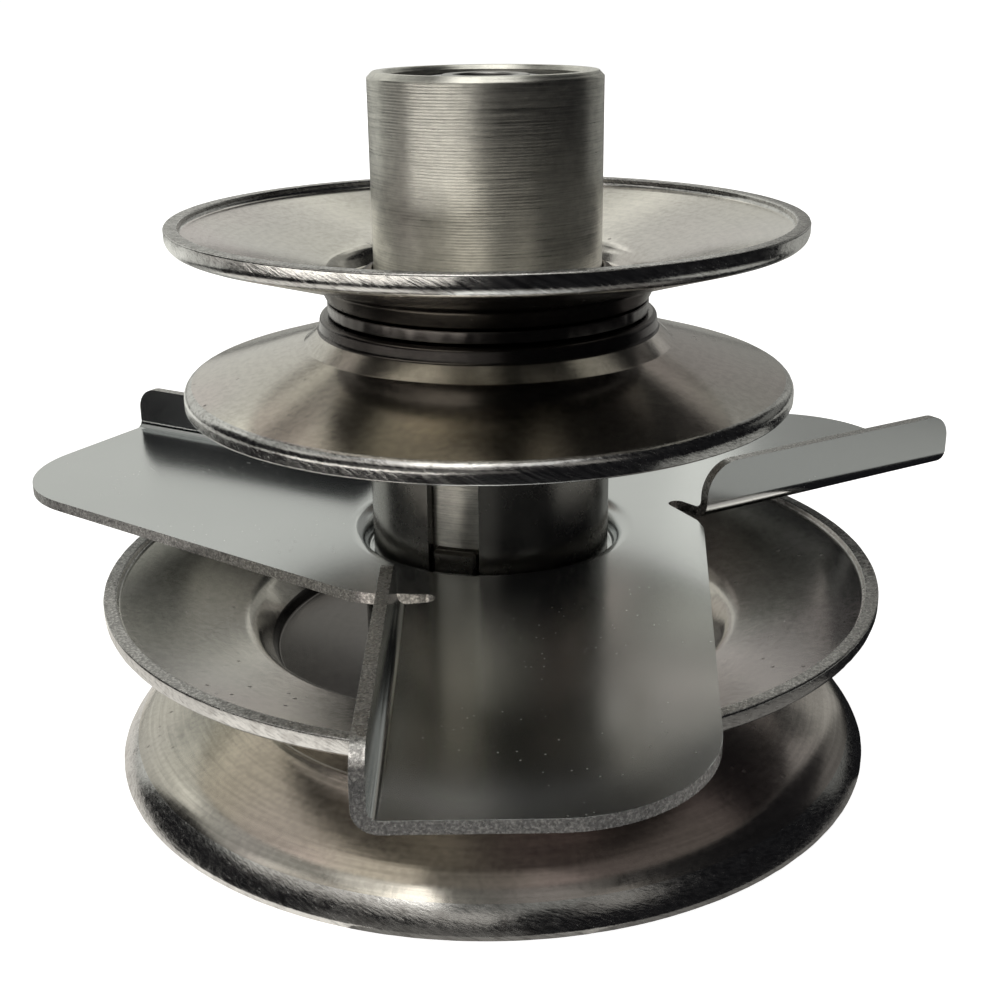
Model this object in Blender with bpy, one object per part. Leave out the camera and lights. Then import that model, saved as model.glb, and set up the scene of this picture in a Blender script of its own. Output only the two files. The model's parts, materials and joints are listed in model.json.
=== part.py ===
"""Two-groove variator pulley of a belt drive, with a cooling fan.

A hub turns on two ball bearings around a fixed spindle sleeve. The top and bottom
sheaves are welded to the hub. The middle sheave, the slotted sleeve, the fan, the
spacer and the lower sheave float on the hub as one unit: it slides along the axis,
so one belt groove closes while the other opens, and a key in the sleeve's slot
makes it turn with the hub.

Metres, +Z up along the shaft axis, origin on the axis in the plane of the bottom
rim. Rest is the upper limit of the floating unit.
"""

import math

import bmesh
import bpy
from mathutils import Matrix, Vector

MM = 0.001
GAP = 0.3 * MM

# Hub and spindle
HUB_RADIUS = 19.05 * MM
HUB_BOTTOM = 0.6 * MM
HUB_TOP = 116.1 * MM
HUB_INNER_RADIUS = 14.5 * MM
SEAT_RADIUS = 16.15 * MM
SLIDE_BORE = HUB_RADIUS + GAP
SPINDLE_BOTTOM = 1.0 * MM
SPINDLE_TOP = 115.5 * MM
SPINDLE_BORE = 5.2 * MM
SPINDLE_RADIUS = 7.2 * MM
SPINDLE_FLANGE_RADIUS = 9.8 * MM
INNER_SPACER_RADIUS = 9.3 * MM

# Ball bearings, both the same size
RACE_BORE = 7.5 * MM
INNER_RACE_RADIUS = 9.95 * MM
OUTER_RACE_BORE = 13.55 * MM
RACE_RADIUS = 15.85 * MM
RACE_WIDTH = 9.0 * MM
PITCH_RADIUS = 11.75 * MM
BALL_RADIUS = 2.35 * MM
TRACK_RADIUS = 2.55 * MM
BALL_COUNT = 9
LOWER_BEARING_Z = 7.9 * MM
UPPER_BEARING_Z = 108.4 * MM
SHIELD_THICKNESS = 0.5 * MM
RING_THICKNESS = 1.0 * MM
RING_GROOVE_RADIUS = 17.1 * MM
RING_OUTER_RADIUS = 16.8 * MM
RING_INNER_RADIUS = 14.2 * MM
RING_GAP_AZIMUTH = 143.0

# Pressed sheaves
SHEET = 2.3 * MM
FLANK_ANGLE = 16.5
FLANK_SLOPE = math.tan(math.radians(FLANK_ANGLE))
RIM_BEND = 3.6 * MM
RIM_LIP = 0.3 * MM
TOP_RIM_RADIUS = 52.5 * MM
MIDDLE_RIM_RADIUS = 51.5 * MM
LOWER_RIM_RADIUS = 67.7 * MM
BOTTOM_RIM_RADIUS = 67.2 * MM
TOP_RIM_Z = 93.3 * MM
MIDDLE_RIM_Z = 63.6 * MM
LOWER_RIM_Z = 31.8 * MM
TOP_WEB_Z = 80.0 * MM
MIDDLE_WEB_Z = 77.4 * MM
LOWER_WEB_Z = 14.9 * MM
BOTTOM_WEB_Z = 6.0 * MM
DISC_RADIUS = 27.1 * MM
SHOULDER_RADIUS = 13.0 * MM
SHOULDER_END = 62.0
SHOULDER_LIP = 0.9 * MM
BEAD_LEG = 2.6 * MM

# Cooling fan
FAN_TOP = 39.0 * MM
FAN_SHEET = 1.9 * MM
FAN_MOUTH_RADIUS = 21.9 * MM
FAN_LIP_TOP = 34.9 * MM
FAN_LIP_RADIUS = 23.2 * MM
COLLAR_BEND = 3.5 * MM
VANE_OUTER_X = -16.5 * MM
VANE_ROOT_Y = -35.7 * MM
BLADE_TIP_Y = -96.2 * MM
VANE_HEIGHT = 8.7 * MM
VANE_CORNERS = (6.4 * MM, 4.5 * MM)
BEND_RADIUS = 1.5 * MM
TIP_CORNER_RADIUS = 22.2 * MM
BLADE_COUNT = 3

# Slotted sleeve and key
SLEEVE_RADIUS = 20.8 * MM
SPACER_TUBE_RADIUS = 22.6 * MM
SLOT_WIDTH = 8.5 * MM
SLOT_AZIMUTH = -107.7
KEY_WIDTH = 7.6 * MM
KEY_TOP = 40.9 * MM
KEY_HEIGHT = 5.9 * MM
KEY_DEPTH_IN_HUB = 1.5 * MM

# Facets round a full circle
SHEAVE_FACETS = 40
TUBE_FACETS = 40
SMALL_FACETS = 26


def clear_scene():
    for thing in list(bpy.data.objects):
        bpy.data.objects.remove(thing, do_unlink=True)


def steel(name, colour, roughness, metallic=1.0):
    """A Principled material of one plain colour."""
    material = bpy.data.materials.new(name)
    material.use_nodes = True
    shader = material.node_tree.nodes["Principled BSDF"]
    shader.inputs["Base Color"].default_value = (*colour, 1.0)
    shader.inputs["Roughness"].default_value = roughness
    shader.inputs["Metallic"].default_value = metallic
    return material


def pivot(name, parent=None):
    """An empty on the shaft axis, which a group of parts moves with."""
    empty = bpy.data.objects.new(name, None)
    bpy.context.collection.objects.link(empty)
    empty.parent = parent
    return empty


def add(name, bm, parent, finish):
    """Turns a bmesh into a named, smooth-shaded object with its own material."""
    bmesh.ops.recalc_face_normals(bm, faces=bm.faces)
    mesh = bpy.data.meshes.new(name)
    bm.to_mesh(mesh)
    bm.free()
    mesh.shade_smooth()
    mesh.set_sharp_from_angle(angle=math.radians(35.0))
    mesh.materials.append(steel(name, *finish))
    thing = bpy.data.objects.new(name, mesh)
    bpy.context.collection.objects.link(thing)
    thing.parent = parent
    return thing


def arc(centre, radius, start, end, steps):
    """Points (r, z) on an arc, angles in degrees, both ends included."""
    points = []
    for step in range(steps + 1):
        angle = math.radians(start + (end - start) * step / steps)
        points.append((centre[0] + radius * math.cos(angle), centre[1] + radius * math.sin(angle)))
    return points


def offset(points, distance):
    """The line of points moved sideways to its right by a distance, corners mitred."""
    vectors = [Vector(point) for point in points]
    moved = []
    for index, point in enumerate(vectors):
        before = point - vectors[max(index - 1, 0)]
        after = vectors[min(index + 1, len(vectors) - 1)] - point
        before = (before if before.length > 0 else after).normalized()
        after = (after if after.length > 0 else before).normalized()
        normals = [Vector((way.y, -way.x)) for way in (before, after)]
        middle = (normals[0] + normals[1]).normalized()
        moved.append(tuple(point + middle * distance / middle.dot(normals[0])))
    return moved


def sheet_section(face, thickness):
    """Closed section of bent sheet whose one face is given; the other lies to its right."""
    return list(face) + list(reversed(offset(face, thickness)))


def spin(bm, section, facets, start=0.0, sweep=360.0):
    """Spins a closed section (r, z) about Z; a part turn gets flat end faces."""
    whole = abs(sweep - 360.0) < 1e-6
    steps = facets if whole else facets + 1
    rings = []
    for step in range(steps):
        angle = math.radians(start + sweep * step / facets)
        turn = (math.cos(angle), math.sin(angle))
        rings.append([bm.verts.new((r * turn[0], r * turn[1], z)) for r, z in section])
    for step in range(facets):
        ring, following = rings[step], rings[(step + 1) % steps]
        for index in range(len(section)):
            other = (index + 1) % len(section)
            bm.faces.new((ring[index], following[index], following[other], ring[other]))
    if not whole:
        bm.faces.new(rings[0])
        bm.faces.new(list(reversed(rings[-1])))


def turned(name, section, parent, finish, facets, start=0.0, sweep=360.0):
    bm = bmesh.new()
    spin(bm, section, facets, start, sweep)
    return add(name, bm, parent, finish)


def tube(name, inner, outer, bottom, top, parent, finish, facets=SMALL_FACETS):
    section = [(outer, bottom), (outer, top), (inner, top), (inner, bottom)]
    return turned(name, section, parent, finish, facets)


def cut_box(target, name, size, place):
    """Cuts a box out of a part with a Boolean modifier."""
    bm = bmesh.new()
    bmesh.ops.create_cube(bm, size=1.0, matrix=place @ Matrix.Diagonal((*size, 1.0)))
    mesh = bpy.data.meshes.new(name)
    bm.to_mesh(mesh)
    bm.free()
    cutter = bpy.data.objects.new(name, mesh)
    bpy.context.collection.objects.link(cutter)
    cutter.parent = target.parent
    cutter.hide_render = True
    cutter.display_type = "WIRE"
    boolean = target.modifiers.new(name, "BOOLEAN")
    boolean.operation = "DIFFERENCE"
    boolean.solver = "EXACT"
    boolean.object = cutter


# Finishes: colour, roughness
ZINC = ((0.50, 0.50, 0.49), 0.30)
DARK_ZINC = ((0.40, 0.40, 0.38), 0.34)
TURNED_STEEL = ((0.56, 0.55, 0.52), 0.28)
BEARING_STEEL = ((0.62, 0.62, 0.63), 0.16)
SPRING_STEEL = ((0.14, 0.14, 0.15), 0.38)
WELD_STEEL = ((0.33, 0.31, 0.29), 0.45)
CAGE_STEEL = ((0.55, 0.50, 0.42), 0.35)


def build_hub(hub):
    """Turned tube with a stepped bore: a bearing seat and a ring groove at each end."""
    lower_seat_top = LOWER_BEARING_Z + RACE_WIDTH / 2 + GAP
    upper_seat_bottom = UPPER_BEARING_Z - RACE_WIDTH / 2 - GAP
    lower_ring_z, upper_ring_z = ring_heights()
    half_groove = RING_THICKNESS / 2 + GAP
    chamfer = 0.8 * MM
    section = [
        (HUB_RADIUS - chamfer, HUB_BOTTOM),
        (HUB_RADIUS, HUB_BOTTOM + chamfer),
        (HUB_RADIUS, HUB_TOP - chamfer),
        (HUB_RADIUS - chamfer, HUB_TOP),
        (SEAT_RADIUS, HUB_TOP),
        (SEAT_RADIUS, upper_ring_z + half_groove),
        (RING_GROOVE_RADIUS, upper_ring_z + half_groove),
        (RING_GROOVE_RADIUS, upper_ring_z - half_groove),
        (SEAT_RADIUS, upper_ring_z - half_groove),
        (SEAT_RADIUS, upper_seat_bottom),
        (HUB_INNER_RADIUS, upper_seat_bottom),
        (HUB_INNER_RADIUS, lower_seat_top),
        (SEAT_RADIUS, lower_seat_top),
        (SEAT_RADIUS, lower_ring_z + half_groove),
        (RING_GROOVE_RADIUS, lower_ring_z + half_groove),
        (RING_GROOVE_RADIUS, lower_ring_z - half_groove),
        (SEAT_RADIUS, lower_ring_z - half_groove),
        (SEAT_RADIUS, HUB_BOTTOM),
    ]
    tube_part = turned("hub_tube", section, hub, TURNED_STEEL, TUBE_FACETS)

    turn = Matrix.Rotation(math.radians(SLOT_AZIMUTH), 4, "Z")
    key_floor = HUB_RADIUS - KEY_DEPTH_IN_HUB
    key_face = SLEEVE_RADIUS - GAP
    key_middle_z = KEY_TOP - KEY_HEIGHT / 2
    seat_size = (6.0 * MM, KEY_WIDTH + 2 * GAP, KEY_HEIGHT + 2 * GAP)
    seat_place = Matrix.Translation((key_floor - GAP + seat_size[0] / 2, 0, key_middle_z))
    cut_box(tube_part, "key_seat", seat_size, turn @ seat_place)

    key_size = (key_face - key_floor, KEY_WIDTH, KEY_HEIGHT)
    key_place = Matrix.Translation(((key_face + key_floor) / 2, 0, key_middle_z))
    bm = bmesh.new()
    bmesh.ops.create_cube(bm, size=1.0, matrix=turn @ key_place @ Matrix.Diagonal((*key_size, 1.0)))
    bmesh.ops.bevel(bm, geom=bm.edges, offset=0.5 * MM, segments=1, affect="EDGES")
    add("drive_key", bm, hub, DARK_ZINC)


def ring_heights():
    """Mid heights of the lower and the upper snap ring, just outside the bearings."""
    reach = RACE_WIDTH / 2 + GAP + RING_THICKNESS / 2
    return LOWER_BEARING_Z - reach, UPPER_BEARING_Z + reach


def build_spindle(spindle):
    """The flanged bush, washer and spacer that the pivot bolt clamps together."""
    flange_top = LOWER_BEARING_Z - RACE_WIDTH / 2 - GAP
    section = [
        (SPINDLE_BORE, SPINDLE_BOTTOM),
        (SPINDLE_FLANGE_RADIUS, SPINDLE_BOTTOM),
        (SPINDLE_FLANGE_RADIUS, flange_top),
        (SPINDLE_RADIUS, flange_top),
        (SPINDLE_RADIUS, SPINDLE_TOP),
        (SPINDLE_BORE, SPINDLE_TOP),
    ]
    turned("spindle_sleeve", section, spindle, DARK_ZINC, SMALL_FACETS)
    washer_bottom = UPPER_BEARING_Z + RACE_WIDTH / 2 + GAP
    washer_top = SPINDLE_TOP - 0.4 * MM
    tube("clamp_washer", RACE_BORE, SPINDLE_FLANGE_RADIUS, washer_bottom, washer_top, spindle, ZINC)
    spacer_bottom = LOWER_BEARING_Z + RACE_WIDTH / 2 + GAP
    spacer_top = UPPER_BEARING_Z - RACE_WIDTH / 2 - GAP
    tube("inner_spacer", RACE_BORE, INNER_SPACER_RADIUS, spacer_bottom, spacer_top, spindle, DARK_ZINC)


def race_sections(middle_z):
    """Sections of the inner and outer race, each with its ball track."""
    low, high = middle_z - RACE_WIDTH / 2, middle_z + RACE_WIDTH / 2
    inner_half = math.degrees(math.acos((PITCH_RADIUS - INNER_RACE_RADIUS) / TRACK_RADIUS))
    outer_half = math.degrees(math.acos((OUTER_RACE_BORE - PITCH_RADIUS) / TRACK_RADIUS))
    centre = (PITCH_RADIUS, middle_z)
    inner = [(RACE_BORE, low), (INNER_RACE_RADIUS, low)]
    inner += arc(centre, TRACK_RADIUS, 180.0 + inner_half, 180.0 - inner_half, 4)
    inner += [(INNER_RACE_RADIUS, high), (RACE_BORE, high)]
    outer = [(RACE_RADIUS, low), (RACE_RADIUS, high), (OUTER_RACE_BORE, high)]
    outer += arc(centre, TRACK_RADIUS, outer_half, -outer_half, 4)
    outer += [(OUTER_RACE_BORE, low)]
    return inner, outer


def build_cage(name, middle_z, cage):
    """Crown cage: a thin ring above the balls, with a prong down between each two."""
    inner, outer = 11.0 * MM, 12.5 * MM
    ring_low, ring_high = middle_z + BALL_RADIUS + 0.3 * MM, middle_z + BALL_RADIUS + 0.9 * MM
    facets = 4 * BALL_COUNT
    facet = 360.0 / facets
    bm = bmesh.new()
    section = [(outer, ring_low), (outer, ring_high), (inner, ring_high), (inner, ring_low)]
    spin(bm, section, facets, facet / 2)
    bm.normal_update()
    prongs = []
    for face in bm.faces:
        place = face.calc_center_median()
        azimuth = math.degrees(math.atan2(place.y, place.x)) % (4 * facet)
        if abs(place.z - ring_low) < 0.01 * MM and abs(azimuth - 2 * facet) < 0.25 * facet:
            prongs.append(face)
    for face in prongs:
        grown = bmesh.ops.extrude_face_region(bm, geom=[face])
        corners = [item for item in grown["geom"] if isinstance(item, bmesh.types.BMVert)]
        bmesh.ops.translate(bm, verts=corners, vec=(0, 0, middle_z - 0.6 * MM - ring_low))
        if face.is_valid:
            bm.faces.remove(face)
    add(name, bm, cage, CAGE_STEEL)


def build_bearing(side, middle_z, spindle, hub, cage):
    """Races, shields, cage and balls of one deep-groove bearing."""
    inner, outer = race_sections(middle_z)
    turned(f"{side}_inner_race", inner, spindle, BEARING_STEEL, SMALL_FACETS)
    turned(f"{side}_outer_race", outer, hub, BEARING_STEEL, SMALL_FACETS)
    reach = RACE_WIDTH / 2 - SHIELD_THICKNESS - 0.2 * MM
    lows = {"top": middle_z + reach, "bottom": middle_z - reach - SHIELD_THICKNESS}
    for place, low in lows.items():
        tube(
            f"{side}_bearing_{place}_shield",
            INNER_RACE_RADIUS + GAP,
            OUTER_RACE_BORE - GAP,
            low,
            low + SHIELD_THICKNESS,
            hub,
            ZINC,
        )
    build_cage(f"{side}_ball_cage", middle_z, cage)
    for number in range(BALL_COUNT):
        bm = bmesh.new()
        bmesh.ops.create_uvsphere(bm, u_segments=10, v_segments=6, radius=BALL_RADIUS)
        angle = math.radians(360.0 * number / BALL_COUNT)
        centre = (PITCH_RADIUS * math.cos(angle), PITCH_RADIUS * math.sin(angle), middle_z)
        bmesh.ops.translate(bm, verts=bm.verts, vec=centre)
        add(f"{side}_ball_{number + 1}", bm, cage, BEARING_STEEL)


def build_snap_rings(hub):
    """Internal rings that keep the bearings in, each open over a short gap."""
    opening = 26.0
    for side, middle_z in zip(("lower", "upper"), ring_heights()):
        low, high = middle_z - RING_THICKNESS / 2, middle_z + RING_THICKNESS / 2
        section = [
            (RING_OUTER_RADIUS, low),
            (RING_OUTER_RADIUS, high),
            (RING_INNER_RADIUS, high),
            (RING_INNER_RADIUS, low),
        ]
        start = RING_GAP_AZIMUTH + opening / 2
        turned(f"{side}_snap_ring", section, hub, SPRING_STEEL, SMALL_FACETS, start, 360.0 - opening)


def rim_up(rim_radius, rim_top):
    """Groove-side face of a rim that turns up from the flank and ends in a short upright lip."""
    bend = arc((rim_radius - RIM_BEND, rim_top - RIM_LIP), RIM_BEND, -90.0 + FLANK_ANGLE, 0.0, 3)
    return bend + [(rim_radius, rim_top)]


def rim_down(rim_radius, rim_bottom):
    """Groove-side face of a rim that turns down from the flank and ends in a short upright lip."""
    bend = arc((rim_radius - RIM_BEND, rim_bottom + RIM_LIP), RIM_BEND, 90.0 - FLANK_ANGLE, 0.0, 3)
    return bend + [(rim_radius, rim_bottom)]


def rim_shoulder(rim_radius):
    """Groove-side face of the bottom rim: a broad round shoulder, then a short upright lip."""
    end = math.radians(SHOULDER_END)
    centre_r = rim_radius - SHOULDER_RADIUS * math.sin(end)
    centre_z = SHOULDER_LIP - SHOULDER_RADIUS * math.cos(end)
    bend = arc((centre_r, centre_z), SHOULDER_RADIUS, 90.0 - FLANK_ANGLE, 90.0 - SHOULDER_END, 5)
    return bend + [(rim_radius, 0.0)]


def flank_z(rim, radius):
    """Height of the straight flank at a radius; rim is the face that rim_up or rim_down gave."""
    rises = rim[-1][1] > rim[0][1]
    slope = FLANK_SLOPE if rises else -FLANK_SLOPE
    return rim[0][1] + (radius - rim[0][0]) * slope


def build_fixed_sheaves(hub):
    """Top and bottom sheave, their weld beads, and the stop disc."""
    rim = rim_up(TOP_RIM_RADIUS, TOP_RIM_Z)
    face = [(SLIDE_BORE, TOP_WEB_Z), (26.6 * MM, TOP_WEB_Z), (27.4 * MM, TOP_WEB_Z + 0.8 * MM)]
    face += [(28.7 * MM, TOP_WEB_Z + 3.1 * MM), (31.0 * MM, flank_z(rim, 31.0 * MM))] + rim
    section = sheet_section(list(reversed(face)), SHEET)
    turned("top_sheave", section, hub, ZINC, SHEAVE_FACETS)

    rim = rim_shoulder(BOTTOM_RIM_RADIUS)
    face = [(SLIDE_BORE, BOTTOM_WEB_Z), (41.8 * MM, BOTTOM_WEB_Z), (42.6 * MM, BOTTOM_WEB_Z + 0.6 * MM)]
    face += [(44.4 * MM, flank_z(rim, 44.4 * MM) - 0.9 * MM), (46.0 * MM, flank_z(rim, 46.0 * MM))] + rim
    turned("bottom_sheave", sheet_section(face, SHEET), hub, ZINC, SHEAVE_FACETS)

    for name, root, way in (
        ("upper_weld_bead", TOP_WEB_Z + SHEET + GAP, 1),
        ("lower_weld_bead", BOTTOM_WEB_Z - SHEET - GAP, -1),
    ):
        bulge = 0.72 * BEAD_LEG
        section = [(SLIDE_BORE, root), (SLIDE_BORE + BEAD_LEG, root)]
        section += [(SLIDE_BORE + bulge, root + way * bulge), (SLIDE_BORE, root + way * BEAD_LEG)]
        turned(name, section, hub, WELD_STEEL, SMALL_FACETS)

    disc_top, disc_bottom = TOP_WEB_Z - GAP, MIDDLE_WEB_Z + GAP
    tube("stop_disc", SLIDE_BORE, DISC_RADIUS, disc_bottom, disc_top, hub, DARK_ZINC, SHEAVE_FACETS)


def build_floating_sheaves(slider):
    """Middle sheave under the upper groove and lower sheave over the lower one."""
    rim = rim_down(MIDDLE_RIM_RADIUS, MIDDLE_RIM_Z)
    face = [(SLIDE_BORE, MIDDLE_WEB_Z), (27.6 * MM, MIDDLE_WEB_Z), (28.4 * MM, MIDDLE_WEB_Z - 0.8 * MM)]
    face += [(28.6 * MM, MIDDLE_WEB_Z - 2.3 * MM), (31.3 * MM, flank_z(rim, 31.3 * MM))] + rim
    turned("middle_sheave", sheet_section(face, SHEET), slider, ZINC, SHEAVE_FACETS)

    rim = rim_up(LOWER_RIM_RADIUS, LOWER_RIM_Z)
    face = [(SLIDE_BORE, LOWER_WEB_Z), (39.6 * MM, LOWER_WEB_Z), (40.8 * MM, LOWER_WEB_Z + 1.0 * MM)]
    face += [(41.6 * MM, LOWER_WEB_Z + 2.9 * MM), (42.4 * MM, LOWER_WEB_Z + 3.5 * MM)]
    face += [(43.5 * MM, flank_z(rim, 43.5 * MM) - 0.6 * MM), (45.0 * MM, flank_z(rim, 45.0 * MM))] + rim
    section = sheet_section(list(reversed(face)), SHEET)
    turned("lower_sheave", section, slider, ZINC, SHEAVE_FACETS)


def build_sleeves(slider):
    """Slotted sleeve over the hub, and the spacer tube under the fan."""
    top = MIDDLE_WEB_Z - SHEET - GAP
    bottom = FAN_LIP_TOP + GAP
    slot = 2 * math.degrees(math.asin(SLOT_WIDTH / (SLIDE_BORE + SLEEVE_RADIUS)))
    section = [(SLEEVE_RADIUS, bottom), (SLEEVE_RADIUS, top), (SLIDE_BORE, top), (SLIDE_BORE, bottom)]
    start = SLOT_AZIMUTH + slot / 2
    turned("slotted_sleeve", section, slider, DARK_ZINC, TUBE_FACETS, start, 360.0 - slot)
    top = FAN_LIP_TOP - FAN_SHEET - GAP
    bottom = LOWER_WEB_Z + SHEET + GAP
    tube("spacer_tube", SLIDE_BORE, SPACER_TUBE_RADIUS, bottom, top, slider, DARK_ZINC, TUBE_FACETS)


def blade_outline():
    """Outline of the blade that points to -Y, anticlockwise, from its relief slot on."""
    slot_end = Vector((-10.4, -33.6)) * MM
    slot_half_width = 1.6 * MM
    bend_x = VANE_OUTER_X + FAN_SHEET + BEND_RADIUS
    points = [(-19.1 * MM, -31.4 * MM), (slot_end.x, slot_end.y + slot_half_width)]
    points += arc(slot_end, slot_half_width, 45.0, -45.0, 2)
    points += [(slot_end.x, slot_end.y - slot_half_width), (bend_x, VANE_ROOT_Y), (bend_x, BLADE_TIP_Y)]
    side_root, side_end = Vector((37.4, -4.7)) * MM, Vector((29.3, -71.5)) * MM
    lean = math.degrees(math.atan2(side_root.x - side_end.x, side_root.y - side_end.y))
    radius = TIP_CORNER_RADIUS
    centre = (side_end.x - radius * math.cos(math.radians(lean)), BLADE_TIP_Y + radius)
    points += arc(centre, radius, -90.0, -lean, 8)
    points.append(tuple(side_root))
    return points


def fan_collar_face():
    """Upper face of the drawn collar, from the flat plate down to the lip at the sleeve."""
    centre = (FAN_MOUTH_RADIUS + COLLAR_BEND, FAN_TOP - COLLAR_BEND)
    face = arc(centre, COLLAR_BEND, 90.0, 180.0, 4)
    return face + [(FAN_MOUTH_RADIUS, FAN_LIP_TOP), (SLIDE_BORE, FAN_LIP_TOP)]


def build_fan(slider):
    """Three-bladed fan bent from one sheet: collar, plate, and an upturned vane on each blade."""
    bm = bmesh.new()
    upper = fan_collar_face()
    lip_bottom = FAN_LIP_TOP - FAN_SHEET
    lower = [(SLIDE_BORE, lip_bottom), (FAN_LIP_RADIUS, lip_bottom)]
    lower += [(FAN_MOUTH_RADIUS + FAN_SHEET, lip_bottom + 0.6 * MM)]
    centre = (FAN_MOUTH_RADIUS + COLLAR_BEND, FAN_TOP - COLLAR_BEND)
    lower += arc(centre, COLLAR_BEND - FAN_SHEET, 180.0, 90.0, 3)
    spin(bm, upper + lower, TUBE_FACETS)

    # The band that closes the collar's section makes way for the plate.
    mouth = upper[0][0]
    for face in list(bm.faces):
        if all(abs(vert.co.to_2d().length - mouth) < 1e-6 for vert in face.verts):
            bmesh.ops.delete(bm, geom=[face], context="FACES_ONLY")
    open_edges = [edge for edge in bm.edges if edge.is_boundary]

    outline = []
    for number in range(BLADE_COUNT):
        turn = Matrix.Rotation(2 * math.pi * number / BLADE_COUNT, 2)
        outline += [turn @ Vector(point) for point in blade_outline()]
    loops = {}
    for height in (FAN_TOP, FAN_TOP - FAN_SHEET):
        verts = [bm.verts.new((*point, height)) for point in outline]
        edges = [bm.edges.new((vert, verts[index - 1])) for index, vert in enumerate(verts)]
        mouth_edges = [edge for edge in open_edges if abs(edge.verts[0].co.z - height) < 1e-6]
        bmesh.ops.triangle_fill(bm, edges=edges + mouth_edges, use_beauty=True)
        loops[height] = verts
    sides = []
    for index in range(len(outline)):
        above, below = loops[FAN_TOP], loops[FAN_TOP - FAN_SHEET]
        corners = (above[index - 1], below[index - 1], below[index], above[index])
        sides.append(bm.faces.new(corners))
    bmesh.ops.recalc_face_normals(bm, faces=bm.faces)

    per_blade = len(outline) // BLADE_COUNT
    bend_side = blade_outline().index((VANE_OUTER_X + FAN_SHEET + BEND_RADIUS, BLADE_TIP_Y))
    for number in range(BLADE_COUNT):
        raise_vane(bm, sides[number * per_blade + bend_side], 2 * math.pi * number / BLADE_COUNT)
    bmesh.ops.remove_doubles(bm, verts=bm.verts, dist=1e-6)
    add("cooling_fan", bm, slider, ZINC)


def raise_vane(bm, face, azimuth):
    """Bends a blade's long side up about its bend line, then rounds the vane's two top corners."""
    turn = Matrix.Rotation(azimuth, 3, "Z")
    centre = turn @ Vector((VANE_OUTER_X + FAN_SHEET + BEND_RADIUS, 0, FAN_TOP + BEND_RADIUS))
    steps = 4
    bend = Matrix.Rotation(math.radians(90.0 / steps), 3, turn @ Vector((0, 1, 0)))
    for step in range(steps + 1):
        grown = bmesh.ops.extrude_face_region(bm, geom=[face])["geom"]
        if face.is_valid:
            bm.faces.remove(face)
        corners = [item for item in grown if isinstance(item, bmesh.types.BMVert)]
        face = next(item for item in grown if isinstance(item, bmesh.types.BMFace))
        if step < steps:
            bmesh.ops.rotate(bm, verts=corners, cent=centre, matrix=bend)
        else:
            bmesh.ops.translate(bm, verts=corners, vec=(0, 0, VANE_HEIGHT - BEND_RADIUS))
    short_edges = sorted(face.edges, key=lambda edge: edge.calc_length())[:2]
    short_edges.sort(key=lambda edge: (edge.verts[0].co - centre).to_2d().length)
    for edge, radius in zip(short_edges, VANE_CORNERS):
        bmesh.ops.bevel(bm, geom=[edge], offset=radius, segments=4, profile=0.5, affect="EDGES")


def main():
    clear_scene()
    spindle = pivot("spindle")
    hub = pivot("hub", spindle)
    slider = pivot("floating_unit", hub)
    build_spindle(spindle)
    build_hub(hub)
    build_fixed_sheaves(hub)
    build_snap_rings(hub)
    build_floating_sheaves(slider)
    build_sleeves(slider)
    build_fan(slider)
    for side, middle_z in (("lower", LOWER_BEARING_Z), ("upper", UPPER_BEARING_Z)):
        build_bearing(side, middle_z, spindle, hub, pivot(f"{side}_cage", spindle))


main()
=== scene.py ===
"""Looks of the variator pulley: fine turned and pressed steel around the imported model."""

import json
import math

import bmesh
import bpy
from mathutils import Matrix, Vector, noise


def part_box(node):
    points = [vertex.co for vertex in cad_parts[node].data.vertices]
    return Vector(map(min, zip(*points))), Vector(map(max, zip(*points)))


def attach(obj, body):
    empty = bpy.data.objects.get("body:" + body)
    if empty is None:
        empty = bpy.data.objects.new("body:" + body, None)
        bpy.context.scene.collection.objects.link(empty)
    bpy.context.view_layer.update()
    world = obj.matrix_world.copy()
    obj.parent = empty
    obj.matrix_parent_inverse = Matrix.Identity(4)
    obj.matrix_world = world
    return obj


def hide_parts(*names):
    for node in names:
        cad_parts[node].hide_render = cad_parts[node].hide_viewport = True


MM = 0.001

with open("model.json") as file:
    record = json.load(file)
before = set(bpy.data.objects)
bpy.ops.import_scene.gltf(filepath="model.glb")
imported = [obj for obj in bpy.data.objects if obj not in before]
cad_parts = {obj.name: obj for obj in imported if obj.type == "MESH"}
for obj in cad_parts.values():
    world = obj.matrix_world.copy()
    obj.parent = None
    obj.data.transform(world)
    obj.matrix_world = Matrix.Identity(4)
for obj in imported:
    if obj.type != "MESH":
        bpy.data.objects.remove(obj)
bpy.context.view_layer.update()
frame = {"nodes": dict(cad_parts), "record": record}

BODY_OF = {node: body for body, nodes in frame["record"]["behaviour"]["bodies"].items() for node in nodes}

# Facets round a full circle, for large and for small pieces
ROUND = 288
SMALL_ROUND = 128

# Clearance kept beside a neighbouring piece
GAP = 0.3 * MM

SHEET = 2.3 * MM
FAN_SHEET = 1.9 * MM
FLANK_ANGLE = math.radians(16.5)
RIM_BEND = 3.6 * MM
FLANK_SLOPE = math.tan(FLANK_ANGLE)


# ---------------------------------------------------------------- sections and meshes

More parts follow.
